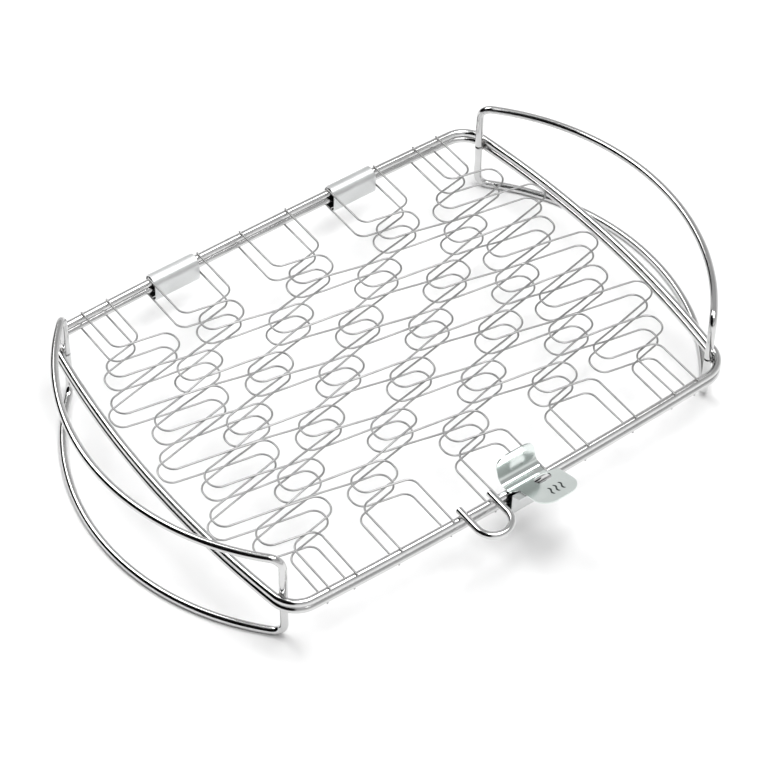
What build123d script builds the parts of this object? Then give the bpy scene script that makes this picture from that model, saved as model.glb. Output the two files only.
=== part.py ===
from build123d import *
from math import atan, cos, degrees, radians, sin, sqrt
import os

# A hinged wire grill basket: two shallow halves of rod and woven wire, lying on each other.
# X runs along the long rails, Y from the latch side (-Y) to the hinge side (+Y), Z is up.
# The origin is under the middle of the frame, on the surface that the lower handles rest on.

# ---- rings: one bent rod each, a rectangle with round corners and bowed sides (mm) ----
frame_length = 383.2      # X distance between the corners of the rod's centreline
frame_depth = 311.5       # Y distance between the same corners
front_bow = 4.0           # how far the middle of each side stands out of its chord
back_bow = 3.1
end_bow = 14.3
corner_radius = 21.0
rod_diameter = 6.0        # rings and handles
rod_gap = 0.7             # between the two rings where they lie on each other
weld_sink = 0.15          # how deep a welded piece sinks into the rod it stands on

# ---- handles: a bow of rod at each end of each half ----
handle_height = 39.5      # bow's centreline above or below the level between the rings
handle_reach = 58.5       # how far the bow's middle stands out from its legs
handle_inset = 17.25      # from the corners of the ring to the legs
handle_bend = 9.0         # bend radius between a leg and the bow
handle_slide = 2.5        # both handles sit this far nearer the front than the middle

# ---- mesh: ten serpentine wires in each half ----
wire_diameter = 1.5
wire_lift = 0.8           # odd wires stand this far out of the rail level, even ones as far in
wire_overhang = 1.8       # a wire's end past the centreline of its rail
row_pitch = 31.9          # between the rows of lobes
row_count = 7
lobe_width = 37.0         # from the middle of a wire to the far side of a lobe
lobe_height = 17.0
lobe_radius = 9.2
leg_bend = 8.5            # bend radius between a wire's straight end and its first lobe
leg_corner_rise = 8.0     # from the first lobe to the corner of the straight end
end_wire_inset = 34.6     # from the corners of the ring to the middle of the outermost wires
next_wire_inset = 51.0    # the same to the next ones; the rest are evenly spaced
leg_offsets = (5.6, 3.2, 0.9, 0.8, 0.0)   # straight ends nearer their own end than the lobes
upper_shift = (0.7, 0.2)  # the meshes are welded a little off the middle
lower_shift = (-1.5, 1.3)

# ---- hinge sleeves: sheet wrapped round both back rods ----
sheet = 1.0
sleeve_radius = 6.8       # outside
sleeve_headroom = 0.75    # over the upper rod
lift_slack = 8.0          # under the lower rod: the lid rises this far on thick food
sleeve_end_gap = 0.6      # to the wires on each side
seam_width = 0.5
axis_offset = 0.45        # hinge line inside the middle of the bowed back rail

# ---- finger loop: a U of rod on the front rail of the lid ----
loop_rod = 5.5
loop_width = 26.5         # between the centrelines of its legs
loop_reach = 32.7         # outermost point past the rail's centreline
loop_tail = 4.7           # cut ends behind the rail's centreline
loop_wire_gap = 0.5

# ---- latch ----
latch_clearance = 0.35    # under the saddle, over the upper rod
latch_left_gap = 7.0      # to the wires on each side
latch_right_gap = 0.45
lip_height = 20.0         # above the saddle
lip_inset = 9.8           # behind the rod's centreline, at its foot
lip_lean = 3.4            # how much further back the top of the lip is
lip_corner = 9.0
tab_reach = 34.5          # past the rod's centreline
tab_slope = 18.0          # degrees above level
tab_set_in = 6.0          # left edge of the tab, right of the saddle's
tab_overhang = 8.0        # right edge of the tab, right of the saddle's
tab_corner = 12.0
hole_length = 13.5        # oval hole at the root of the tab
hole_width = 8.6
hole_past = 7.5           # its middle past the rod's centreline
hole_from_edge = 7.0      # and left of the saddle's right edge
hook_wall = 6.6           # outer wall's middle, past the rod's centreline
hook_return = 5.2         # return's middle, behind the rod's centreline
hook_return_height = 6.3
hook_flange = 8.0         # the strip that is welded under the tab
hook_bend = 5.4
hook_wire_gap = 0.75
hook_hole_margin = 0.5

# ---- levels and lines worked out from these ----
rod_radius = rod_diameter / 2
wire_radius = wire_diameter / 2
half_length = frame_length / 2
half_depth = frame_depth / 2
middle_height = handle_height + rod_radius           # the level between the rings
ring_offset = (rod_diameter + rod_gap) / 2           # each ring's centreline from that level
wire_offset = ring_offset + rod_radius + wire_radius - weld_sink
rail_top = ring_offset + rod_radius                  # outside of a ring, from the same level
wire_spacing = (half_length - next_wire_inset) / 3.5


def side_radius(half_chord, bow):
    """Radius of the arc of a bowed side."""
    return (half_chord**2 + bow**2) / (2 * bow)


def bow_at(half_chord, bow, along):
    """How far a bowed side stands out of its chord, at a distance along from its middle."""
    radius = side_radius(half_chord, bow)
    return bow - radius + sqrt(radius**2 - along**2)


def rail_y(x, side):
    """Y of a long rail's centreline: side is -1 for the front rail and 1 for the back one."""
    bow = front_bow if side < 0 else back_bow
    return side * (half_depth + bow_at(half_length, bow, x))


def swept_rod(path, diameter):
    """A round rod along a path, with square-cut ends."""
    with BuildPart() as rod:
        with BuildSketch(Plane(origin=path @ 0, z_dir=path % 0)):
            Circle(diameter / 2)
        sweep(path=path)
    return rod


def save(piece, name):
    piece.part.label = name
    export_step(piece.part, f"parts/{name}.step")


# ---- rings ----
def ring(level):
    """The rod's centreline at a level: four bowed sides joined by round corners."""
    corner = (half_length, half_depth)
    with BuildLine(Plane.XY.offset(level)) as path:
        ThreePointArc((-corner[0], -corner[1]), (0, -corner[1] - front_bow), (corner[0], -corner[1]))
        ThreePointArc((corner[0], -corner[1]), (corner[0] + end_bow, 0), (corner[0], corner[1]))
        ThreePointArc((corner[0], corner[1]), (0, corner[1] + back_bow), (-corner[0], corner[1]))
        ThreePointArc((-corner[0], corner[1]), (-corner[0] - end_bow, 0), (-corner[0], -corner[1]))
        fillet(path.vertices(), corner_radius)
    return swept_rod(path.line, rod_diameter)


# ---- handles ----
def handle(side, up):
    """A bow at the end of a half: side is -1 for left and 1 for right, up is -1 for the lower.

    It is drawn from the centre of the end rail's arc, so both legs touch the rail alike.
    """
    end_radius = side_radius(half_depth, end_bow)
    arc_centre = half_length + end_bow - end_radius
    turn = -handle_slide / end_radius
    span = half_depth - handle_inset
    leg = sqrt((end_radius - rod_diameter + weld_sink)**2 - span**2)
    start_angle = 2 * atan(handle_reach / (span + handle_bend))
    rise = handle_bend * (1 - sin(radians(45)))
    run = handle_bend * (1 - cos(radians(45)))

    def along(distance, height, end):
        """A point on the leg's bend: a distance from the leg, towards the bow."""
        return (leg + distance * sin(start_angle), end * (span - distance * cos(start_angle)), height)

    foot = rod_gap / 2
    low = handle_height - handle_bend
    bend_top = handle_height - rise
    plane = Plane(origin=(side * arc_centre, 0, middle_height),
                  x_dir=(side * cos(turn), sin(turn), 0), z_dir=(0, 0, up))
    with BuildLine(plane) as path:
        Line(along(0, foot, -1), along(0, low, -1))
        ThreePointArc(along(0, low, -1), along(run, bend_top, -1), along(handle_bend, handle_height, -1))
        ThreePointArc(along(handle_bend, handle_height, -1), (leg + handle_reach, 0, handle_height),
                      along(handle_bend, handle_height, 1))
        ThreePointArc(along(handle_bend, handle_height, 1), along(run, bend_top, 1), along(0, low, 1))
        Line(along(0, low, 1), along(0, foot, 1))
    return swept_rod(path.line, rod_diameter)


# ---- mesh wires ----
def wire_middle(number):
    """X of the middle of a wire's lobes. Wires 1 to 10 run from left to right."""
    if number > 5:
        return -wire_middle(11 - number)
    if number == 1:
        return end_wire_inset - half_length
    return (number - 5.5) * wire_spacing


def wire_leg(number):
    """X of a wire's straight ends, before the mesh's own shift."""
    if number % 2 == 0:
        return -wire_leg(11 - number)
    return wire_middle(number) - leg_offsets[number // 2]


def mesh_wire(number, up, shift):
    """One wire: straight end, lobes to alternate sides from row to row, straight end."""
    first_side = 1 if number % 2 else -1
    middle = wire_middle(number) + shift[0]
    leg = wire_leg(number) + shift[0]
    rail_level = middle_height + up * wire_offset
    mesh_level = rail_level + up * first_side * wire_lift
    top_row = row_pitch * (row_count - 1) / 2
    corner = top_row + lobe_height / 2 + leg_corner_rise
    points = [(leg, rail_y(leg, 1) + wire_overhang, rail_level), (leg, corner + shift[1], mesh_level)]
    radii = [leg_bend]
    for row in range(row_count):
        row_y = top_row - row * row_pitch + shift[1]
        side = first_side if row % 2 == 0 else -first_side
        lobe_x = middle + side * lobe_width
        points += [(lobe_x, row_y + lobe_height / 2, mesh_level),
                   (lobe_x, row_y - lobe_height / 2, mesh_level)]
        radii += [lobe_radius, lobe_radius]
    points += [(leg, shift[1] - corner, mesh_level), (leg, rail_y(leg, -1) - wire_overhang, rail_level)]
    radii += [leg_bend]
    with BuildLine() as path:
        FilletPolyline(*points, radius=radii)
    return swept_rod(path.line, wire_diameter)


# ---- hinge sleeves ----
hinge_y = rail_y(0, 1) - axis_offset
hinge_height = middle_height + ring_offset


def sleeve(start, end):
    """Sheet wrapped round both back rods, with a butt seam underneath."""
    top = rail_top + sleeve_headroom + sheet
    bottom = -(rail_top + lift_slack + sheet)
    level = middle_height + (top + bottom) / 2
    with BuildPart() as wrap:
        with BuildSketch(Plane.YZ.offset(start)):
            with Locations((hinge_y, level)):
                SlotOverall(top - bottom, 2 * sleeve_radius, rotation=90)
                SlotOverall(top - bottom - 2 * sheet, 2 * (sleeve_radius - sheet), rotation=90,
                            mode=Mode.SUBTRACT)
            with Locations((hinge_y, middle_height + bottom + sheet / 2)):
                Rectangle(seam_width, 2 * sheet, mode=Mode.SUBTRACT)
        extrude(amount=end - start)
    return wrap


def sleeve_span(left_wire, right_wire):
    """X where a sleeve starts and ends, clear of both meshes' wires on each side of it."""
    clear = wire_radius + sleeve_end_gap
    shifts = (upper_shift[0], lower_shift[0])
    return wire_leg(left_wire) + max(shifts) + clear, wire_leg(right_wire) + min(shifts) - clear


# ---- finger loop ----
def loop():
    """A flat U of rod on top of the lid's front rail, left of the latch."""
    level = middle_height + rail_top + loop_rod / 2 - weld_sink
    right = wire_leg(5) + upper_shift[0] - wire_radius - loop_wire_gap - loop_rod / 2
    left = right - loop_width
    rail = rail_y((left + right) / 2, -1)
    bend_y = rail - loop_reach + loop_rod / 2 + loop_width / 2
    with BuildLine(Plane.XY.offset(level)) as path:
        Line((left, rail + loop_tail), (left, bend_y))
        ThreePointArc((left, bend_y), ((left + right) / 2, bend_y - loop_width / 2), (right, bend_y))
        Line((right, bend_y), (right, rail + loop_tail))
    return swept_rod(path.line, loop_rod)


# ---- latch, drawn in the YZ plane from the upper front rod ----
latch_y = rail_y(0, -1)
latch_height = middle_height + ring_offset
saddle_level = latch_height + rod_radius + latch_clearance + sheet / 2
plate_left = wire_leg(5) + upper_shift[0] + wire_radius + latch_left_gap
plate_right = wire_leg(6) + upper_shift[0] - wire_radius - latch_right_gap
tab_left = plate_left + tab_set_in
tab_right = plate_right + tab_overhang
hook_right = wire_leg(6) + lower_shift[0] - wire_radius - hook_wire_gap


def tab_level(past):
    """Height of the tab's middle, at a distance past the rod's centreline."""
    return saddle_level + past * sin(radians(tab_slope)) / cos(radians(tab_slope))


def oval(margin):
    """Outline of the hole at the root of the tab, level with the tab's tip."""
    with BuildSketch(Plane.XY.offset(tab_level(tab_reach))) as outline:
        with Locations((plate_right - hole_from_edge, latch_y - hole_past)):
            SlotOverall(hole_length + 2 * margin, hole_width + 2 * margin)
    return outline.sketch


def latch_plate():
    """Thumb tab, saddle over the upper rod and the lip that stands up inside."""
    lip_top = latch_y + lip_inset + lip_lean
    neck = latch_y - rod_radius
    root = neck - 4 * sheet
    tip = latch_y - tab_reach
    outline = ((plate_left, lip_top + sheet), (plate_left, neck), (tab_left, root), (tab_left, tip),
               (tab_right, tip), (tab_right, root), (plate_right, neck), (plate_right, lip_top + sheet))
    with BuildPart() as plate:
        with BuildSketch(Plane.YZ.offset(plate_left)):
            with BuildLine():
                FilletPolyline((lip_top, saddle_level + lip_height),
                               (latch_y + lip_inset, saddle_level),
                               (latch_y, saddle_level),
                               (tip - sheet, tab_level(tab_reach + sheet)),
                               radius=(3 * sheet, 6 * sheet))
            trace(line_width=sheet)
        extrude(amount=tab_right - plate_left)
        with BuildSketch(Plane.XY.offset(middle_height)):
            with BuildLine():
                FilletPolyline(*outline, close=True,
                               radius=(sheet / 2, 3 * sheet, 3 * sheet, tab_corner,
                                       tab_corner, 2 * sheet, sheet, sheet / 2))
            make_face()
        extrude(amount=middle_height, mode=Mode.INTERSECT)
        corners = plate.edges().filter_by(GeomType.LINE).filter_by(lambda e: e.length < 1.5 * sheet)
        fillet(corners.sort_by(Axis.Z)[-2:], lip_corner)
        extrude(oval(0), amount=-middle_height / 2, mode=Mode.SUBTRACT)
    return plate


def latch_hook():
    """The strip down outside both front rods and under the lower one, welded under the tab."""
    wall = latch_y - hook_wall
    inside = latch_y + hook_return
    bottom = middle_height - rail_top - lift_slack - sheet / 2
    drop = sheet / cos(radians(tab_slope))
    flange_end = hook_wall + hook_flange
    with BuildPart() as hook:
        with BuildSketch(Plane.YZ.offset(plate_left)):
            with BuildLine():
                FilletPolyline((latch_y - flange_end, tab_level(flange_end) - drop),
                               (wall, tab_level(hook_wall) - drop),
                               (wall, bottom),
                               (inside, bottom),
                               (inside, bottom + hook_return_height),
                               radius=(1.5 * sheet, hook_bend, hook_bend))
            trace(line_width=sheet)
        extrude(amount=hook_right - plate_left)
        cut_depth = tab_level(tab_reach) - saddle_level + 3 * sheet
        extrude(oval(hook_hole_margin), amount=-cut_depth, mode=Mode.SUBTRACT)
    return hook


# ---- every piece, each in its own file ----
os.makedirs("parts", exist_ok=True)
for half, up, shift in (("upper", 1, upper_shift), ("lower", -1, lower_shift)):
    save(ring(middle_height + up * ring_offset), f"{half}_frame")
    save(handle(-1, up), f"{half}_handle_left")
    save(handle(1, up), f"{half}_handle_right")
    for number in range(1, 11):
        save(mesh_wire(number, up, shift), f"{half}_wire_{number:02d}")
save(sleeve(*sleeve_span(3, 4)), "hinge_sleeve_left")
save(sleeve(*sleeve_span(7, 8)), "hinge_sleeve_right")
save(loop(), "finger_loop")
save(latch_plate(), "latch_plate")
save(latch_hook(), "latch_hook")

print("hinge line at y", round(hinge_y, 3), "z", round(hinge_height, 3))
print("latch line at y", round(latch_y, 3), "z", round(latch_height, 3))
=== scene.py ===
from math import asin, atan, cos, pi, radians, sin, sqrt, tan

import bpy
import numpy as np
from mathutils import Matrix, Vector


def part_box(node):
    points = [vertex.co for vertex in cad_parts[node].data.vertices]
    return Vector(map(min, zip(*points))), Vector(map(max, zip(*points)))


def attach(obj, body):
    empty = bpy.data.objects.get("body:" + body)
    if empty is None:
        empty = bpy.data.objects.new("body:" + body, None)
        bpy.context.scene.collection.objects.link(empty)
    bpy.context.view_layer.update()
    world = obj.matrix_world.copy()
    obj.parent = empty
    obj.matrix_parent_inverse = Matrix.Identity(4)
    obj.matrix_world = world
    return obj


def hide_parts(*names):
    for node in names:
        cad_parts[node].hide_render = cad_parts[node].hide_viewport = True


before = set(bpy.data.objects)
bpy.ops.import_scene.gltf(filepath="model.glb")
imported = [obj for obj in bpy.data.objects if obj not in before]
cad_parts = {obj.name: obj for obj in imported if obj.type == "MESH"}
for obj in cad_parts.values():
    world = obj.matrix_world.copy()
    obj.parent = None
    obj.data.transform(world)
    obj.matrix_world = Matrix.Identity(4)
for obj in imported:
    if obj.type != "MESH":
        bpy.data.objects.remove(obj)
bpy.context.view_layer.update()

# Sizes are in millimetres, and MM turns them into Blender's metres when a mesh is made.
MM = 0.001
X, _, Z = np.eye(3)


def box(node):
    """Lowest and highest corner of a CAD node, in millimetres."""
    low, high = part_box(node)
    return np.array(low) / MM, np.array(high) / MM


# ---- sizes read from the frame ----
upper_low, upper_high = box("upper_frame")
lower_low, lower_high = box("lower_frame")
ROD = (upper_high[2] - upper_low[2]) / 2                  # radius of rings and handles
UPPER_LEVEL = (upper_high[2] + upper_low[2]) / 2          # centrelines of the two rings
LOWER_LEVEL = (lower_high[2] + lower_low[2]) / 2
MIDDLE = (UPPER_LEVEL + LOWER_LEVEL) / 2
BACK_Y = upper_high[1] - ROD                              # back rail's centreline at x = 0
END_X = upper_high[0] - ROD                               # end rails' centrelines at y = 0
RAIL_TOP = upper_high[2] - MIDDLE                         # outside of a ring from the middle level

# ---- ring: how far each side bows out, and the corner's radius on the centreline ----
FRONT_BOW, BACK_BOW, END_BOW = 4.0, 3.1, 14.3
CORNER = 21.0
HALF_LENGTH = END_X - END_BOW
HALF_DEPTH = BACK_Y - BACK_BOW

# ---- handles: reach outward, inset from the corners, bends' radius, slide along the end rail ----
HANDLE_REACH, HANDLE_INSET, HANDLE_BEND, HANDLE_SLIDE = 58.5, 17.25, 9.0, 2.5
HANDLE_HEIGHT = box("upper_handle_left")[1][2] - ROD - MIDDLE

# ---- wires: WIRE is a radius, and the LEG sizes are those of the straight ends ----
WIRE = 0.75
WEAVE = 0.8                                               # over and under the mesh's middle level
WELD_SINK = 0.15                                          # how deep a weld joins two rods
WIRE_LEVEL = RAIL_TOP + WIRE - WELD_SINK
OVERHANG = 1.8
ROW_PITCH, ROWS = 31.9, 7
LOBE_WIDTH, LOBE_HEIGHT, LOBE_RADIUS = 37.0, 17.0, 9.2
LEG_BEND, LEG_RISE = 8.5, 8.0
END_WIRE_INSET, NEXT_WIRE_INSET = 34.6, 51.0
LEG_OFFSETS = (5.6, 3.2, 0.9, 0.8, 0.0)
SHIFTS = {"upper": (0.7, 0.2), "lower": (-1.5, 1.3)}      # of each half's whole mesh
SPACING = (HALF_LENGTH - NEXT_WIRE_INSET) / 3.5           # wire 2 is 3.5 steps from the middle

# ---- sheet pieces and latch ----
SHEET = 1.0
SHEET_EDGE = 0.22                                         # rounding of a sheet's edges
SLEEVE_SEAM = 0.35                                        # half of the gap underneath
LIP_HEIGHT, LIP_CORNER, LIP_START = 20.0, 9.0, 3.6
TAB_SET_IN, TAB_OVERHANG, TAB_CORNER, TAB_BEND = 6.0, 8.0, 12.0, 6.0
TAB_SLOPE = radians(18)
HOLE_SET_IN, HOLE_FORWARD = 7.0, 7.5
HOLE_HALF = np.array([13.5, 8.6]) / 2
HOLE_MARGIN = 0.9                                         # from it to the nearest straight row

# ---- how finely a round piece is cut ----
ROD_SIDES, LOOP_SIDES, WIRE_SIDES = 36, 32, 10
LEG_POINTS, LIP_POINTS = 14, 40


# ---------------------------------------------------------------- paths
def bow_radius(half_chord, bow):
    """Radius of the circle whose arc rises by the bow over half a chord."""
    return (half_chord**2 + bow**2) / (2 * bow)


def end_arc_centre(side):
    """X of the centre of the left (-1) or right (1) end rail's arc."""
    return side * (HALF_LENGTH + END_BOW - bow_radius(HALF_DEPTH, END_BOW))


def rail_y(x, side):
    """Centreline of the front (-1) or back (1) rail: a shallow circular arc."""
    bow = FRONT_BOW if side < 0 else BACK_BOW
    radius = bow_radius(HALF_LENGTH, bow)
    return side * (HALF_DEPTH + bow - radius + np.sqrt(radius**2 - np.asarray(x, float)**2))


def arc(centre, radius, start, end, count):
    """Points on a circle in the XY plane from one angle to another, the short way."""
    angle = np.linspace(start, start + (end - start + pi) % (2 * pi) - pi, count)
    return centre + radius * np.column_stack([np.cos(angle), np.sin(angle)])


def ring_path():
    """Closed plan of a ring: four large arcs, joined by corner arcs tangent to both sides.

    A corner's centre is where the two side arcs, drawn smaller by the corner's radius, cross.
    """
    sides = []
    for axis, half_chord, half, bow, sign in ((1, HALF_LENGTH, HALF_DEPTH, FRONT_BOW, -1),
                                              (0, HALF_DEPTH, HALF_LENGTH, END_BOW, 1),
                                              (1, HALF_LENGTH, HALF_DEPTH, BACK_BOW, 1),
                                              (0, HALF_DEPTH, HALF_LENGTH, END_BOW, -1)):
        radius = bow_radius(half_chord, bow)
        centre = np.zeros(2)
        centre[axis] = sign * (half + bow - radius)
        sides.append((centre, radius))
    corners = []
    for k, (sx, sy) in enumerate(((1, -1), (1, 1), (-1, 1), (-1, -1))):
        (c1, r1), (c2, r2) = sides[k], sides[(k + 1) % 4]
        a, b = r1 - CORNER, r2 - CORNER
        gap = c2 - c1
        dist = np.hypot(*gap)
        along = (a**2 - b**2 + dist**2) / (2 * dist)
        off = sqrt(a**2 - along**2)
        base, normal = c1 + gap * along / dist, np.array([-gap[1], gap[0]]) / dist
        both = (base + normal * off, base - normal * off)
        corners.append(max(both, key=lambda p: p[0] * sx + p[1] * sy))
    points = []
    for k in range(4):
        before, corner = corners[k - 1], corners[k]
        centre, radius = sides[k]
        start, end = (np.arctan2(*(c - centre)[::-1]) for c in (before, corner))
        points.append(arc(centre, radius, start, end, 90)[:-1])
        after = np.arctan2(*(corner - sides[(k + 1) % 4][0])[::-1])
        points.append(arc(corner, CORNER, end, after, 26)[:-1])
    return np.vstack(points)


def rounded(points, radii, step=0.9):
    """An open polyline with its corners turned into tangent arcs, in 3-D.

    An arc lies in its corner's own plane, and starts radius / tan(half the corner angle) away.
    """
    points = np.asarray(points, float)
    out, last = [], points[0]
    for p, q, r, radius in zip(points, points[1:], points[2:], radii):
        u, v = (p - q) / np.linalg.norm(p - q), (r - q) / np.linalg.norm(r - q)
        half = np.arccos(np.clip(u @ v, -1, 1)) / 2
        away = radius / tan(half)
        centre = q + (u + v) / np.linalg.norm(u + v) * radius / sin(half)
        start, end = q + u * away, q + v * away
        count = max(2, int(np.linalg.norm(start - last) / step))
        out.append(last + (start - last) * np.linspace(0, 1, count, endpoint=False)[:, None])
        e1 = (start - centre) / radius
        e2 = -u
        count = max(6, int((pi - 2 * half) * radius / step))
        turn = np.linspace(0, pi - 2 * half, count, endpoint=False)
        out.append(centre + radius * (np.cos(turn)[:, None] * e1 + np.sin(turn)[:, None] * e2))
        last = end
    count = max(2, int(np.linalg.norm(points[-1] - last) / step))
    out.append(last + (points[-1] - last) * np.linspace(0, 1, count)[:, None])
    return np.vstack(out)


def handle_path(side, up):
    """Leg up, quarter bend, shallow bow in a level plane, quarter bend, leg down.

    It is drawn from the centre of the end rail's arc, turned a little so that it slides
    along that rail, and mirrored up or down.
    """
    radius = bow_radius(HALF_DEPTH, END_BOW)
    turn = -HANDLE_SLIDE / radius
    span = HALF_DEPTH - HANDLE_INSET
    leg = sqrt((radius - 2 * ROD + WELD_SINK)**2 - span**2)
    angle = 2 * atan(HANDLE_REACH / (span + HANDLE_BEND))
    foot = (UPPER_LEVEL - ROD) - MIDDLE
    low = HANDLE_HEIGHT - HANDLE_BEND
    bend = np.linspace(0, pi / 2, 16)
    across = HANDLE_BEND * (1 - np.cos(bend))
    rise = np.linspace(foot, low, LEG_POINTS, endpoint=False)
    legs = np.column_stack([np.full(LEG_POINTS, leg), np.full(LEG_POINTS, -span), rise])
    bends = np.column_stack([leg + across * sin(angle), -span + across * cos(angle),
                             low + HANDLE_BEND * np.sin(bend)])
    half_chord = span - HANDLE_BEND * cos(angle)
    bow = half_chord / sin(angle)
    sweep = np.linspace(-angle, angle, 130)[1:-1]
    middle = leg + HANDLE_REACH - bow
    arch = np.column_stack([middle + bow * np.cos(sweep), bow * np.sin(sweep),
                            np.full(len(sweep), HANDLE_HEIGHT)])
    near = np.vstack([legs, bends])
    far = (near * (1, -1, 1))[::-1]
    path = np.vstack([near, arch, far])
    out = np.array([side * cos(turn), sin(turn), 0])
    up_axis = np.array([0, 0, up])
    across_axis = np.cross(up_axis, out)
    origin = np.array([end_arc_centre(side), 0, MIDDLE])
    return origin + path @ np.array([out, across_axis, up_axis])


# ---------------------------------------------------------------- meshes
def make_object(name, verts, faces, material, body, smooth_angle=40, stands_for=()):
    """A mesh in metres from millimetre points, riding on a body, for the CAD nodes it stands for."""
    mesh = bpy.data.meshes.new(name)
    mesh.from_pydata((np.asarray(verts) * MM).tolist(), [], [list(f) for f in faces])
    mesh.update()
    mesh.polygons.foreach_set("use_smooth", np.ones(len(mesh.polygons), bool))
    mesh.set_sharp_from_angle(angle=radians(smooth_angle))
    mesh.materials.append(material)
    piece = bpy.data.objects.new(name, mesh)
    bpy.context.scene.collection.objects.link(piece)
    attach(piece, body)
    if stands_for:
        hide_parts(*stands_for)
    return piece


def grid_faces(rows, columns, start=0, close_rows=False, close_columns=False):
    """Quads of a grid of points, stored row by row, that may wrap round either way."""
    r = np.arange(rows if close_rows else rows - 1)
    c = np.arange(columns if close_columns else columns - 1)
    r, c = (a.ravel() for a in np.meshgrid(r, c, indexing="ij"))
    r2, c2 = (r + 1) % rows, (c + 1) % columns
    return start + np.column_stack([r * columns + c, r * columns + c2,
                                    r2 * columns + c2, r2 * columns + c])


def tube(path, radius, sides, reference, closed=False, chamfer=0.0):
    """A round tube: circles square to the path, turned so that one side keeps to a reference.

    An open tube ends in a small chamfer and a flat face.
    """
    path = np.asarray(path, float)
    if closed:
        tangent = np.roll(path, -1, 0) - np.roll(path, 1, 0)
        scale = np.ones(len(path))
    else:
        step = path[1] - path[0], path[-1] - path[-2]
        ends = [s / np.linalg.norm(s) * chamfer for s in step]
        tangent = np.gradient(path, axis=0)
        path = np.vstack([path[:1], path[:1] + ends[0], path[1:-1], path[-1:] - ends[1], path[-1:]])
        tangent = np.vstack([step[0], tangent[:-1], tangent[-1:], step[1]])
        tangent[1], tangent[-2] = step
        scale = np.ones(len(path))
        scale[[0, -1]] = 1 - chamfer / radius
    tangent /= np.linalg.norm(tangent, axis=1)[:, None]
    side = np.cross(tangent, reference)
    side /= np.linalg.norm(side, axis=1)[:, None]
    other = np.cross(tangent, side)
    angle = np.linspace(0, 2 * pi, sides, endpoint=False)
    circle = side[:, None] * np.cos(angle)[:, None] + other[:, None] * np.sin(angle)[:, None]
    verts = (path[:, None] + circle * (radius * scale)[:, None, None]).reshape(-1, 3)
    faces = grid_faces(len(path), sides, close_rows=closed, close_columns=True).tolist()
    if not closed:
        faces.append(list(range(sides)))
        faces.append(list(range(len(verts) - 1, len(verts) - 1 - sides, -1)))
    return verts, faces


def join(parts):
    """Several (points, faces) as one."""
    verts, faces, start = [], [], 0
    for v, f in parts:
        verts.append(v)
        faces += [[start + i for i in face] for face in f]
        start += len(v)
    return np.vstack(verts), faces


def bead(centre, sizes, axes=np.eye(3), rings=7, sides=14):
    """A weld bead: an ellipsoid of three half-sizes along three axes."""
    lat = np.linspace(-pi / 2, pi / 2, rings + 2)[1:-1]
    lon = np.linspace(0, 2 * pi, sides, endpoint=False)
    unit = np.stack([np.cos(lat)[:, None] * np.cos(lon), np.cos(lat)[:, None] * np.sin(lon),
                     np.repeat(np.sin(lat)[:, None], sides, 1)], -1).reshape(-1, 3)
    unit = np.vstack([unit, [0, 0, -1], [0, 0, 1]])
    verts = np.asarray(centre) + (unit * sizes) @ axes
    faces = grid_faces(rings, sides, close_columns=True).tolist()
    south, north = len(unit) - 2, len(unit) - 1
    top = (rings - 1) * sides
    faces += [[south, (k + 1) % sides, k] for k in range(sides)]
    faces += [[north, top + k, top + (k + 1) % sides] for k in range(sides)]
    return verts, faces


# ---------------------------------------------------------------- materials
def grey(value):
    return value, value, value


def new_material(name):
    material = bpy.data.materials.new(name)
    material.use_nodes = True
    tree = material.node_tree
    return material, tree, tree.nodes["Principled BSDF"]


def link_noise(tree, scale, detail, stretch=(1, 1, 1)):
    """Noise on Object coordinates, stretched along the axes."""
    coords = tree.nodes.new("ShaderNodeTexCoord")
    mapping = tree.nodes.new("ShaderNodeMapping")
    mapping.inputs["Scale"].default_value = stretch
    noise = tree.nodes.new("ShaderNodeTexNoise")
    noise.inputs["Scale"].default_value = scale
    noise.inputs["Detail"].default_value = detail
    tree.links.new(coords.outputs["Object"], mapping.inputs["Vector"])
    tree.links.new(mapping.outputs["Vector"], noise.inputs["Vector"])
    return noise


def ramp(tree, source, stops):
    """A colour ramp over a value, from (position, colour) stops."""
    node = tree.nodes.new("ShaderNodeValToRGB")
    for element, (position, colour) in zip(node.color_ramp.elements, (stops[0], stops[-1])):
        element.position, element.color = position, (*colour, 1)
    for position, colour in stops[1:-1]:
        node.color_ramp.elements.new(position).color = (*colour, 1)
    tree.links.new(source, node.inputs["Fac"])
    return node


def steel(name, dark, light, rough_low, rough_high, grain, bump, stretch=(1, 1, 1)):
    """Bright steel: slightly cloudy colour and roughness, and a fine drawn or rolled grain."""
    material, tree, shader = new_material(name)
    shader.inputs["Metallic"].default_value = 1.0
    cloud = link_noise(tree, 45, 4)
    tint = ramp(tree, cloud.outputs["Fac"], ((0.3, dark), (0.7, light)))
    tree.links.new(tint.outputs["Color"], shader.inputs["Base Color"])
    fine = link_noise(tree, grain, 6, stretch)
    rough = tree.nodes.new("ShaderNodeMapRange")
    rough.inputs["To Min"].default_value = rough_low
    rough.inputs["To Max"].default_value = rough_high
    tree.links.new(fine.outputs["Fac"], rough.inputs["Value"])
    tree.links.new(rough.outputs["Result"], shader.inputs["Roughness"])
    lift = tree.nodes.new("ShaderNodeBump")
    lift.inputs["Strength"].default_value = bump
    lift.inputs["Distance"].default_value = 0.00002
    tree.links.new(fine.outputs["Fac"], lift.inputs["Height"])
    tree.links.new(lift.outputs["Normal"], shader.inputs["Normal"])
    return material


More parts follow.
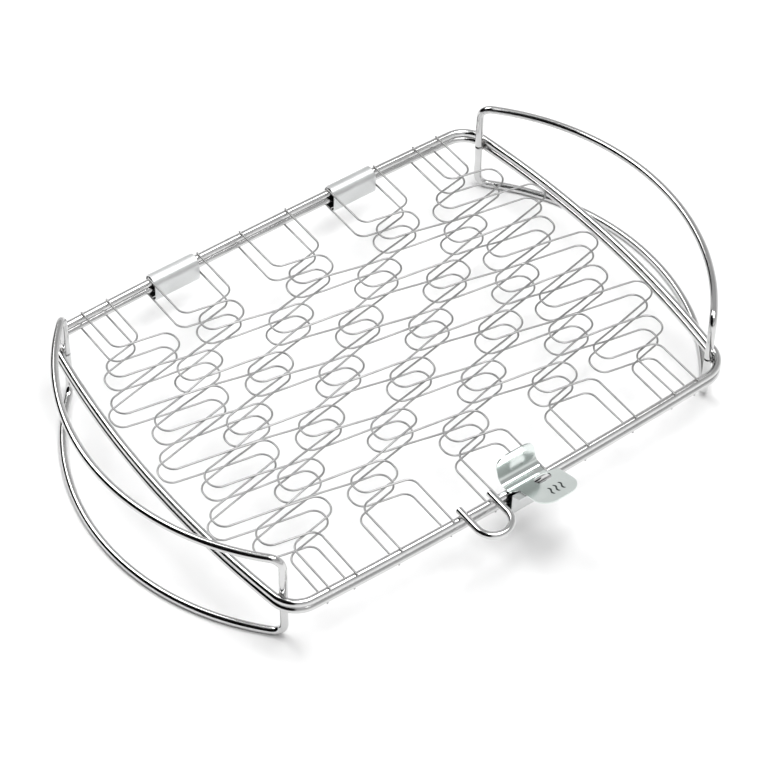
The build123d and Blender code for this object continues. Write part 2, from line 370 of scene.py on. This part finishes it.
ROD_STEEL = steel("bright_rod", grey(0.60), grey(0.70), 0.10, 0.18, 900, 0.25)
WIRE_STEEL = steel("bright_wire", grey(0.32), grey(0.42), 0.26, 0.38, 1200, 0.2)
SHEET_STEEL = steel("rolled_sheet", (0.66, 0.67, 0.67), (0.75, 0.76, 0.76), 0.36, 0.46, 700, 0.3,
                    stretch=(1, 14, 14))
TAB_STEEL = steel("polished_sheet", (0.72, 0.77, 0.75), (0.80, 0.85, 0.83), 0.10, 0.18, 700, 0.25,
                  stretch=(14, 1, 14))
# Near-black steel for the sheets' inner faces: painted shade inside the sleeves and on the plate's
# underside.
SHADE_INNER_STEEL = steel("inner_sheet_painted_shade", grey(0.05), grey(0.10), 0.35, 0.50, 700, 0.35, stretch=(1, 14, 14))
WELD_STEEL = steel("weld_bead", (0.22, 0.20, 0.19), (0.42, 0.41, 0.40), 0.30, 0.50, 800, 0.6)


def print_material():
    """Dark printed enamel, slightly uneven."""
    material, tree, shader = new_material("printed_mark")
    cloud = link_noise(tree, 600, 3)
    dark, light = (0.012, 0.018, 0.016), (0.03, 0.04, 0.037)
    tint = ramp(tree, cloud.outputs["Fac"], ((0.35, dark), (0.7, light)))
    tree.links.new(tint.outputs["Color"], shader.inputs["Base Color"])
    shader.inputs["Roughness"].default_value = 0.42
    return material


# ---------------------------------------------------------------- rings and handles
BODY = {"upper": "lid", "lower": "lower_basket"}
LEVEL = {"upper": UPPER_LEVEL, "lower": LOWER_LEVEL}
UP = {"upper": 1, "lower": -1}
HANDLE_WELD = (1.15, 2.3, 2.3)                            # half-sizes of the beads
WIRE_WELD = (1.25, 1.3, 0.5)
LOOP_WELD = (2.1, 2.0, 0.9)


def ring_and_handles(half):
    """One closed tube, two bows inside its end rails, and a bead where each leg meets a rail."""
    body, level = BODY[half], LEVEL[half]
    plan = ring_path()
    path = np.column_stack([plan, np.full(len(plan), level)])
    verts, faces = tube(path, ROD, ROD_SIDES, Z, closed=True)
    make_object(f"{half}_ring", verts, faces, ROD_STEEL, body, stands_for=(f"{half}_frame",))
    beads = []
    for side, word in ((-1, "left"), (1, "right")):
        path = handle_path(side, UP[half])
        verts, faces = tube(path, ROD, ROD_SIDES, X, chamfer=0.6)
        make_object(f"{half}_bow_{word}", verts, faces, ROD_STEEL, body,
                    stands_for=(f"{half}_handle_{word}",))
        for leg in (path[0], path[-1]):
            out = leg - (end_arc_centre(side), 0, leg[2])
            out /= np.hypot(out[0], out[1])
            seam = leg * (1, 1, 0) + out * ROD + (0, 0, level)
            beads.append(bead(seam, HANDLE_WELD, np.array([out, np.cross(Z, out), Z])))
    verts, faces = join(beads)
    make_object(f"{half}_handle_welds", verts, faces, WELD_STEEL, body)


for half in ("upper", "lower"):
    ring_and_handles(half)


# ---------------------------------------------------------------- woven wires
def wire_middle(number):
    """X of the line that a wire's lobes lie to both sides of; wires 6 to 10 mirror 5 to 1."""
    if number > 5:
        return -wire_middle(11 - number)
    return END_WIRE_INSET - HALF_LENGTH if number == 1 else (number - 5.5) * SPACING


def wire_leg(number):
    """X of a wire's straight ends; an even wire mirrors the odd one on the other side."""
    if number % 2 == 0:
        return -wire_leg(11 - number)
    return wire_middle(number) - LEG_OFFSETS[number // 2]


def wire_plan(number, shift):
    """Straight end, lobes to alternate sides from row to row, straight end; z is left at 0."""
    first = 1 if number % 2 else -1
    middle, leg = wire_middle(number) + shift[0], wire_leg(number) + shift[0]
    top = ROW_PITCH * (ROWS - 1) / 2
    corner = top + LOBE_HEIGHT / 2 + LEG_RISE
    points = [(leg, float(rail_y(leg, 1)) + OVERHANG, 0), (leg, corner + shift[1], 0)]
    for row in range(ROWS):
        y = top - row * ROW_PITCH + shift[1]
        x = middle + first * (1 if row % 2 == 0 else -1) * LOBE_WIDTH
        points += [(x, y + LOBE_HEIGHT / 2, 0), (x, y - LOBE_HEIGHT / 2, 0)]
    points += [(leg, shift[1] - corner, 0), (leg, float(rail_y(leg, -1)) - OVERHANG, 0)]
    return rounded(points, [LEG_BEND] + [LOBE_RADIUS] * (2 * ROWS) + [LEG_BEND])


def crossings(a, b):
    """Where two plan paths cross: fractional indexes along each, from every pair of segments."""
    p, r = a[:-1, None, :2], (a[1:] - a[:-1])[:, None, :2]
    q, s = b[None, :-1, :2], (b[1:] - b[:-1])[None, :, :2]
    cross = r[..., 0] * s[..., 1] - r[..., 1] * s[..., 0]
    cross = np.where(np.abs(cross) < 1e-12, 1e-12, cross)
    w = q - p
    t = (w[..., 0] * s[..., 1] - w[..., 1] * s[..., 0]) / cross
    u = (w[..., 0] * r[..., 1] - w[..., 1] * r[..., 0]) / cross
    i, j = np.nonzero((t >= 0) & (t < 1) & (u >= 0) & (u < 1))
    return list(zip(i + t[i, j], j + u[i, j]))


def weave(plans):
    """Lists of (index, +1 or -1) for each wire, so that each goes over and under in turn.

    Every crossing joins the next and the last one on both of its wires with the opposite sign;
    the signs are passed on along the wires from the first crossing.
    """
    marks, at = [], {n: [] for n in plans}
    for n in plans:
        if n + 1 in plans:
            for i, j in crossings(plans[n], plans[n + 1]):
                marks.append((n, i, n + 1, j))
    for k, (n, i, m, j) in enumerate(marks):
        at[n].append((i, k, 1))
        at[m].append((j, k, -1))
    for n in at:
        at[n].sort()
    sign = {}
    for start in range(len(marks)):
        if start in sign:
            continue
        sign[start] = 1
        todo = [start]
        while todo:
            k = todo.pop()
            for n in (marks[k][0], marks[k][2]):
                order = at[n]
                place = [c[1] for c in order].index(k)
                mine = sign[k] * order[place][2]
                for step in (-1, 1):
                    if 0 <= place + step < len(order):
                        other = order[place + step]
                        if other[1] not in sign:
                            sign[other[1]] = -mine * other[2]
                            todo.append(other[1])
    return {n: [(i, sign[k] * role) for i, k, role in at[n]] for n in at}


def woven(path, marks, level, up):
    """The plan lifted to its level plus WEAVE times the sign at each crossing, eased between."""
    places = np.array([0] + [i for i, _ in marks] + [len(path) - 1])
    heights = np.array([0] + [s for _, s in marks] + [0], float)
    index = np.arange(len(path))
    k = np.clip(np.searchsorted(places, index, side="right") - 1, 0, len(places) - 2)
    t = (index - places[k]) / (places[k + 1] - places[k])
    eased = (1 - np.cos(pi * np.clip(t, 0, 1))) / 2
    eased = np.where((k == 0) | (k == len(places) - 2), np.clip(t, 0, 1), eased)
    out = path.copy()
    out[:, 2] = level + up * WEAVE * (heights[k] + (heights[k + 1] - heights[k]) * eased)
    return out


def wires(half):
    """Ten woven wires, and a flat bead where each end crosses a long rail."""
    plans = {n: wire_plan(n, SHIFTS[half]) for n in range(1, 11)}
    marks = weave(plans)
    level = MIDDLE + UP[half] * WIRE_LEVEL
    beads = []
    for n, path in plans.items():
        line = woven(path, marks[n], level, UP[half])
        verts, faces = tube(line, WIRE, WIRE_SIDES, Z, chamfer=0.15)
        make_object(f"{half}_strand_{n:02d}", verts, faces, WIRE_STEEL, BODY[half], 60,
                    stands_for=(f"{half}_wire_{n:02d}",))
        for end, side in ((line[0], 1), (line[-1], -1)):
            seat = (end[0], float(rail_y(end[0], side)), MIDDLE + UP[half] * (RAIL_TOP - 0.1))
            beads.append(bead(seat, WIRE_WELD))
    verts, faces = join(beads)
    make_object(f"{half}_wire_welds", verts, faces, WELD_STEEL, BODY[half])


for half in ("upper", "lower"):
    wires(half)


# ---------------------------------------------------------------- finger loop
def finger_loop():
    """A level U: straight leg, half circle, straight leg, over the front rail."""
    low, high = box("finger_loop")
    rod = (high[2] - low[2]) / 2
    left, right = low[0] + rod, high[0] - rod
    half_width = (right - left) / 2
    bend_y = low[1] + rod + half_width
    sweep = np.linspace(pi, 2 * pi, 60)
    straight = np.linspace(high[1], bend_y, 24, endpoint=False)
    turn = np.column_stack([(left + right) / 2 + half_width * np.cos(sweep),
                            bend_y + half_width * np.sin(sweep)])
    flat = np.vstack([np.column_stack([np.full(len(straight), left), straight]), turn,
                      np.column_stack([np.full(len(straight), right), straight[::-1]])])
    path = np.column_stack([flat, np.full(len(flat), (high[2] + low[2]) / 2)])
    verts, faces = tube(path, rod, LOOP_SIDES, Z, chamfer=0.5)
    make_object("pull_loop", verts, faces, ROD_STEEL, "lid", stands_for=("finger_loop",))
    seats = [(x, float(rail_y(x, -1)), UPPER_LEVEL + ROD) for x in (left, right)]
    verts, faces = join([bead(seat, LOOP_WELD) for seat in seats])
    make_object("loop_welds", verts, faces, WELD_STEEL, "lid")


finger_loop()


# ---------------------------------------------------------------- sheet pieces
def finish_sheet(piece):
    """Gives a one-sided sheet its thickness, an inner face painted near black as shade, and rounded
    edges.
    """
    # The inner face takes the near-black steel, as painted shade.
    piece.data.materials.append(SHADE_INNER_STEEL)
    solid = piece.modifiers.new("thickness", "SOLIDIFY")
    solid.material_offset = 1
    solid.thickness = SHEET * MM
    solid.offset = 0
    edge = piece.modifiers.new("edge", "BEVEL")
    edge.width = SHEET_EDGE * MM
    edge.segments = 2
    edge.limit_method = "ANGLE"
    edge.angle_limit = radians(50)
    edge.harden_normals = True


def sleeve(name, node):
    """Rolled sheet: a slot-shaped section carried along X, open at a seam underneath."""
    low, high = box(node)
    radius = (high[1] - low[1]) / 2 - SHEET / 2
    y = (high[1] + low[1]) / 2
    top, bottom = high[2] - SHEET / 2 - radius, low[2] + SHEET / 2 + radius
    under = np.linspace(-pi / 2 + asin(SLEEVE_SEAM / radius), 0, 16)
    over = np.linspace(0, pi, 34)
    sides = np.linspace(0, 1, 10)[1:-1]
    section = np.vstack([
        np.column_stack([radius * np.cos(under), bottom + radius * np.sin(under)]),
        np.column_stack([np.full(len(sides), radius), bottom + (top - bottom) * sides]),
        np.column_stack([radius * np.cos(over), top + radius * np.sin(over)]),
        np.column_stack([np.full(len(sides), -radius), top + (bottom - top) * sides]),
        np.column_stack([-radius * np.cos(under[::-1]), bottom + radius * np.sin(under[::-1])])])
    x = np.linspace(low[0], high[0], 12)
    verts = np.stack([np.repeat(x[None, :], len(section), 0),
                      np.repeat(y + section[:, :1], len(x), 1),
                      np.repeat(section[:, 1:], len(x), 1)], -1).reshape(-1, 3)
    faces = grid_faces(len(section), len(x))
    a, b, c, d = verts[faces[0]]
    if np.cross(c - a, d - b) @ (0, a[1] - y, a[2] - bottom) < 0:
        faces = faces[:, ::-1]
    finish_sheet(make_object(name, verts, faces.tolist(), SHEET_STEEL, "hinge_sleeves", 60,
                             (node,)))


sleeve("sleeve_left", "hinge_sleeve_left")
sleeve("sleeve_right", "hinge_sleeve_right")


def painted_shade_hook_material():
    """Sheet steel that is bright outside the strip's wall and painted near black within it, as painted
    shade seen through the latch's hole.

    The change from one to the other lies between two depths in front of the rail's centreline.
    """
    rail, wall_outside, wall_inside = float(rail_y(0, -1)), 6.85, 6.35
    material = SHEET_STEEL.copy()
    material.name = "hook_sheet_painted_shade"
    tree = material.node_tree
    shader = tree.nodes["Principled BSDF"]
    coords = tree.nodes.new("ShaderNodeTexCoord")
    split = tree.nodes.new("ShaderNodeSeparateXYZ")
    tree.links.new(coords.outputs["Object"], split.inputs["Vector"])
    # Mask of the painted shade: 0 outside the wall, rising to 1 within it.
    inside = tree.nodes.new("ShaderNodeMapRange")
    inside.inputs["From Min"].default_value = (rail - wall_outside) * MM
    inside.inputs["From Max"].default_value = (rail - wall_inside) * MM
    tree.links.new(split.outputs["Y"], inside.inputs["Value"])
    shade_mix = tree.nodes.new("ShaderNodeMixRGB")
    # Near-black colour of the painted shade on the wall's inner side.
    shade_mix.inputs["Color2"].default_value = (0.05, 0.055, 0.055, 1)
    tree.links.new(inside.outputs["Result"], shade_mix.inputs["Fac"])
    tree.links.new(shader.inputs["Base Color"].links[0].from_socket, shade_mix.inputs["Color1"])
    tree.links.new(shade_mix.outputs["Color"], shader.inputs["Base Color"])
    return material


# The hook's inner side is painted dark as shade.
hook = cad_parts["latch_hook"]
hook.data.materials.clear()
hook.data.materials.append(painted_shade_hook_material())


# ---------------------------------------------------------------- latch plate
plate_low, plate_high = box("latch_plate")
LATCH_Y = float(rail_y(0, -1))
SADDLE = plate_high[2] - LIP_HEIGHT
PLATE_LEFT, TAB_RIGHT = plate_low[0], plate_high[0]
PLATE_RIGHT, TAB_LEFT = TAB_RIGHT - TAB_OVERHANG, PLATE_LEFT + TAB_SET_IN
TAB_TIP = plate_low[1] + SHEET / 2 * sin(TAB_SLOPE)
HOLE = np.array([PLATE_RIGHT - HOLE_SET_IN, LATCH_Y - HOLE_FORWARD])


def plate_side():
    """Side view of the plate's middle, from the top of the lip to the tip of the tab.

    The lip is a quarter of an ellipse that starts level, so it is hollow towards the front; the
    saddle is level, and the tab rises at a steady slope after a short bend.
    """
    turn = np.linspace(pi / 2, 0, LIP_POINTS, endpoint=False)
    back = plate_high[1] - SHEET / 2
    start = LATCH_Y + LIP_START
    lip = np.column_stack([start + (back - start) * np.sin(turn),
                           SADDLE + LIP_HEIGHT * (1 - np.cos(turn))])
    rise = SADDLE + (LATCH_Y - TAB_TIP) * tan(TAB_SLOPE)
    rest = rounded([(0, start, SADDLE), (0, LATCH_Y, SADDLE), (0, TAB_TIP, rise)], [TAB_BEND], 0.6)
    return np.vstack([lip, rest[:, 1:]])


def ease(t):
    """From 0 to 1, level at both ends: three times the square less twice the cube."""
    t = np.clip(t, 0, 1)
    return t * t * (3 - 2 * t)


def plate_edges(y, along):
    """Left and right edge at each row, from its Y and its distance from the top of the lip.

    Both step sideways from the saddle to the tab, and draw in as quarter circles at the
    corners of the lip and of the tab.
    """
    step = ease((LATCH_Y - ROD - y) / (4 * SHEET))
    left = PLATE_LEFT + (TAB_LEFT - PLATE_LEFT) * step
    right = PLATE_RIGHT + (TAB_RIGHT - PLATE_RIGHT) * step
    for reach, radius in ((along, LIP_CORNER), (y - TAB_TIP, TAB_CORNER)):
        inside = np.clip(radius - reach, 0, radius)
        draw = radius - np.sqrt(radius**2 - inside**2)
        left, right = left + draw, right - draw
    return left, right


def latch_plate():
    """Three patches: lip and saddle, a ring of rows round the oval hole, and the tab.

    The first and last are grids between the two edges.  The middle one runs from the oval
    out to the border that it shares with them.
    """
    side = plate_side()
    along = np.concatenate([[0], np.cumsum(np.hypot(*np.diff(side, axis=0).T))])
    columns = np.linspace(0, 1, 37)
    reach = HOLE_HALF[1] + HOLE_MARGIN

    def at_y(y):
        """Height at each Y in front of the lip, and the distance from the lip's top."""
        distance = np.interp(-y, -side[LIP_POINTS:, 0], along[LIP_POINTS:])
        return np.interp(distance, along, side[:, 1]), distance

    def rows(distance):
        """Rows of points from edge to edge, at distances from the lip's top."""
        y, z = np.interp(distance, along, side[:, 0]), np.interp(distance, along, side[:, 1])
        left, right = plate_edges(y, distance)
        x = left[:, None] + (right - left)[:, None] * columns
        return np.stack(np.broadcast_arrays(x, y[:, None], z[:, None]), -1)

    first, last = at_y(np.array([HOLE[1] + reach, HOLE[1] - reach]))[1]
    corner = LIP_CORNER * (1 - np.cos(np.linspace(0, pi / 2, 16)))
    upper = rows(np.concatenate([corner[:-1], np.linspace(LIP_CORNER, first, 44)]))
    tip = along[-1] - TAB_CORNER
    tail = TAB_CORNER * np.sin(np.linspace(0, pi / 2, 22))
    tab = rows(np.concatenate([np.linspace(last, tip, 16)[:-1], tip + tail]))
    middle = rows(np.linspace(first, last, 15))
    border = np.vstack([middle[0, :-1], middle[:-1, -1], middle[-1, :0:-1], middle[:0:-1, 0]])
    away = border[:, :2] - HOLE
    straight = HOLE_HALF[0] - HOLE_HALF[1]
    flat = np.abs(away[:, 0]) * HOLE_HALF[1] <= straight * np.abs(away[:, 1])
    unit = away / np.linalg.norm(away, axis=1)[:, None]
    push = straight * np.abs(unit[:, 0])
    round_end = push + np.sqrt(push**2 - straight**2 + HOLE_HALF[1]**2)
    straight_side = HOLE_HALF[1] / np.maximum(np.abs(unit[:, 1]), 1e-6)
    oval = HOLE + unit * np.where(flat, straight_side, round_end)[:, None]
    share = np.linspace(0, 1, 9)[:, None, None]
    ring = border[None, :, :2] * share + oval[None] * (1 - share)
    ring = np.dstack([ring, at_y(ring[..., 1].ravel())[0].reshape(ring.shape[:2])])

    parts, start = [], 0
    for patch, wrap in ((upper, False), (ring, True), (tab, False)):
        parts.append(grid_faces(*patch.shape[:2], start=start, close_columns=wrap))
        start += patch.shape[0] * patch.shape[1]
    verts = np.vstack([p.reshape(-1, 3) for p in (upper, ring, tab)])
    faces = np.vstack(parts)
    verts, same = np.unique(np.round(verts, 4), axis=0, return_inverse=True)
    faces = same.reshape(-1)[faces]
    a, b, c, d = (verts[faces[:, k]] for k in range(4))
    up_and_forward = np.array([0, -0.5, 1])
    facing = np.cross(c - a, d - b) @ up_and_forward
    faces = np.where((facing < 0)[:, None], faces[:, ::-1], faces)
    finish_sheet(make_object("thumb_plate", verts, faces.tolist(), TAB_STEEL, "latch", 60,
                             ("latch_plate",)))


def heat_waves():
    """Three short wavy bars printed on the tab: a sine across X along each bar's length.

    Each is a pair of leaves, one just over the sheet and one sunk in it, drawn in at their ends.
    """
    pitch, start, length = 4.6, 11.2, 8.8
    swing, half_width = 0.85, 0.72
    middle = HOLE[0] - 0.6
    over, under = 0.02, -0.12
    v = np.linspace(0, 1, 40)
    parts = []
    for x in (-pitch, 0, pitch):
        y = HOLE[1] - start - length * v
        centre = middle + x + swing * np.sin(2 * pi * v)
        half = half_width * np.sqrt(np.clip(1 - (2 * v - 1)**8, 0.02, 1))
        z = SADDLE + (LATCH_Y - y) * tan(TAB_SLOPE) + SHEET / 2 / cos(TAB_SLOPE)
        for lift, turn in ((over, 1), (under, -1)):
            edges = centre - half, centre + half
            grid = np.stack([np.stack([edge, y, z + lift], -1) for edge in edges], 1)
            parts.append((grid.reshape(-1, 3), grid_faces(len(v), 2)[:, ::-turn].tolist()))
    verts, faces = join(parts)
    make_object("heat_mark", verts, faces, print_material(), "latch")


latch_plate()
heat_waves()


# ---------------------------------------------------------------- stage, light and camera
def floor():
    """A pale square, 3 m each way from the middle, at the level that the feet stand on."""
    mesh = bpy.data.meshes.new("floor")
    s = 3.0
    mesh.from_pydata([(-s, -s, 0), (s, -s, 0), (s, s, 0), (-s, s, 0)], [], [(0, 1, 2, 3)])
    material, _, shader = new_material("pale_floor")
    shader.inputs["Base Color"].default_value = (*grey(0.94), 1)
    shader.inputs["Roughness"].default_value = 0.7
    mesh.materials.append(material)
    piece = bpy.data.objects.new("floor", mesh)
    bpy.context.scene.collection.objects.link(piece)


def area(name, place, size, power):
    """A rectangular lamp that looks at the origin."""
    light = bpy.data.lights.new(name, "AREA")
    light.shape = "RECTANGLE"
    light.size, light.size_y = size
    light.energy = power
    lamp = bpy.data.objects.new(name, light)
    bpy.context.scene.collection.objects.link(lamp)
    lamp.location = place
    lamp.rotation_mode = "QUATERNION"
    lamp.rotation_quaternion = (-Vector(place)).to_track_quat("-Z", "Y")


# Grey of the dome by height, from level 0 to overhead 1.
DOME = ((0.0, 0.85), (0.09, 0.80), (0.13, 0.30), (0.19, 0.80), (0.36, 0.85), (0.52, 0.42), (0.80, 0.50),
        (1.0, 0.75))
CARD_DIRECTION = (-0.93, 0.30, 0.21)
CARD_EDGE = ((0.34, 1), (0.44, 0.004))                    # cosine of the angle, and what is left


def sky():
    """Studio room: a pale grey dome with a dark card standing along the left side.

    The card is a step in the cosine of the angle to a direction low on the left, so that rods
    that run away from the viewer show a black band and rods that run across stay bright.
    """
    world = bpy.data.worlds.new("room")
    bpy.context.scene.world = world
    world.use_nodes = True
    tree = world.node_tree
    coords = tree.nodes.new("ShaderNodeTexCoord")
    split = tree.nodes.new("ShaderNodeSeparateXYZ")
    tree.links.new(coords.outputs["Generated"], split.inputs["Vector"])
    dome = ramp(tree, split.outputs["Z"], [(height, grey(value)) for height, value in DOME])
    toward = tree.nodes.new("ShaderNodeVectorMath")
    toward.operation = "DOT_PRODUCT"
    toward.inputs[1].default_value = CARD_DIRECTION
    tree.links.new(coords.outputs["Generated"], toward.inputs[0])
    card = ramp(tree, toward.outputs["Value"], [(place, grey(value)) for place, value in CARD_EDGE])
    both = tree.nodes.new("ShaderNodeMixRGB")
    both.blend_type = "MULTIPLY"
    both.inputs["Fac"].default_value = 1.0
    tree.links.new(dome.outputs["Color"], both.inputs["Color1"])
    tree.links.new(card.outputs["Color"], both.inputs["Color2"])
    back = tree.nodes["Background"]
    tree.links.new(both.outputs["Color"], back.inputs["Color"])
    back.inputs["Strength"].default_value = 0.95


def camera():
    """The viewpoint: an azimuth, elevation and roll about a point on the basket's middle level."""
    azimuth, elevation, roll = radians(-36.537), radians(47.949), radians(0.661)
    distance, side_step, down_step = 2062.65, 0.64, 23.31
    back = np.array([sin(azimuth) * cos(elevation), -cos(azimuth) * cos(elevation), sin(elevation)])
    right = np.cross(-back, Z)
    right /= np.linalg.norm(right)
    up = np.cross(right, -back)
    right, up = right * cos(roll) + up * sin(roll), up * cos(roll) - right * sin(roll)
    place = np.array([0, 0, MIDDLE]) + back * distance - side_step * right - down_step * up
    data = bpy.data.cameras.new("camera")
    data.sensor_width, data.lens = 36.0, 132.15
    data.clip_start, data.clip_end = 0.05, 50
    eye = bpy.data.objects.new("camera", data)
    bpy.context.scene.collection.objects.link(eye)
    turn = Matrix([[*row] for row in np.column_stack([right, up, back])]).to_4x4()
    eye.matrix_world = Matrix.Translation(Vector(place * MM)) @ turn
    bpy.context.scene.camera = eye


floor()
sky()
bpy.context.scene.view_settings.view_transform = "Standard"
area("key", (-0.35, 1.1, 1.7), size=(1.1, 1.1), power=19)
area("top", (0.25, -0.35, 1.95), size=(1.5, 1.1), power=28)
camera()
